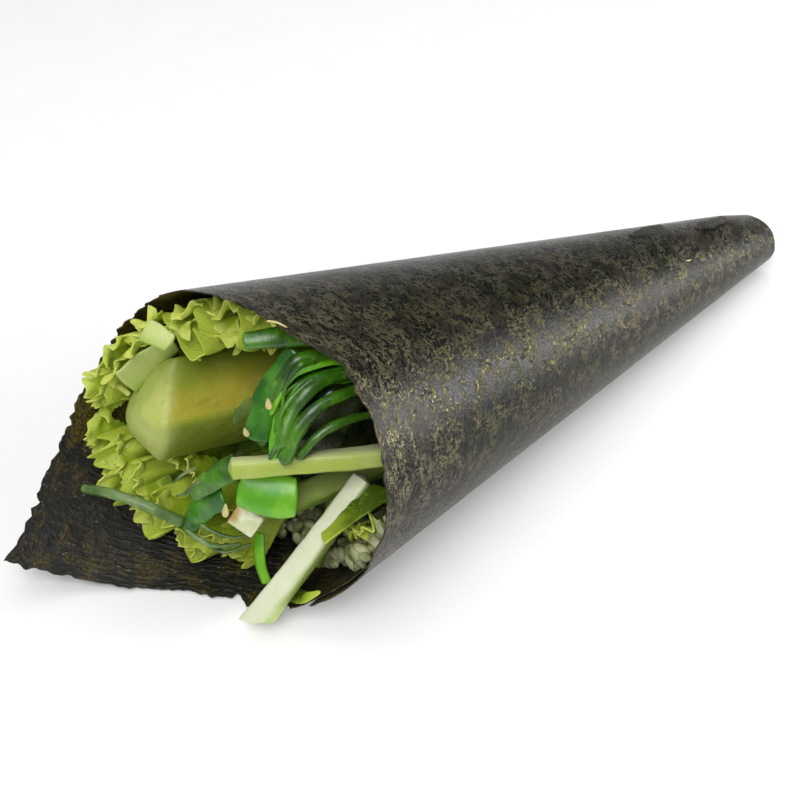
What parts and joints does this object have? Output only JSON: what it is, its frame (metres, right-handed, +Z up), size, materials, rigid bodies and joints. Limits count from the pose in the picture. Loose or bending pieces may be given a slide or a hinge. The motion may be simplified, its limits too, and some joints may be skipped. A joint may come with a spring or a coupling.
{
  "type": "temaki hand roll",
  "caption": "Cone-shaped nori hand roll lying on its side, filled with rice, lettuce, avocado, wakame salad and cucumber sticks.",
  "frame": {"origin": "on the ground under the middle of the roll's bounding box", "axes": "+X along the roll from the open mouth to the tip, +Y to the side of the long flap, +Z up"},
  "size_m": [0.2502, 0.0824, 0.0792],
  "materials": {
    "nori": "dry pressed seaweed sheet, charcoal with olive and lilac fibres, soft sheen",
    "rice": "moist cooked grains",
    "leaf": "fresh yellow-green salad leaf",
    "leaf_rib": "pale crisp leaf rib",
    "avocado": "ripe avocado flesh, green at its edge",
    "wakame": "wet glossy seaweed strands",
    "cucumber": "moist pale flesh with greener edges",
    "radish": "moist cream flesh"
  },
  "bodies": {
    "root": {"avocado_slice": "avocado", "cucumber_stick_1": "cucumber", "cucumber_stick_2": "cucumber", "cucumber_stick_3": "cucumber", "cucumber_stick_4": "cucumber", "leaf_stem_piece": "leaf_rib", "lettuce_lower": "leaf", "lettuce_rib": "leaf_rib", "lettuce_sprig": "leaf", "lettuce_strip": "leaf", "lettuce_upper": "leaf", "nori_sheet": "nori", "radish_dice": "radish", "rice_bed": "rice", "wakame_band": "wakame", "wakame_bright_piece": "wakame", "wakame_bundle": "wakame", "wakame_flat_piece": "wakame", "wakame_low_strand": "wakame", "wakame_stem": "wakame", "wakame_teal_piece": "wakame", "wakame_top_strand": "wakame"}
  },
  "joints": []
}
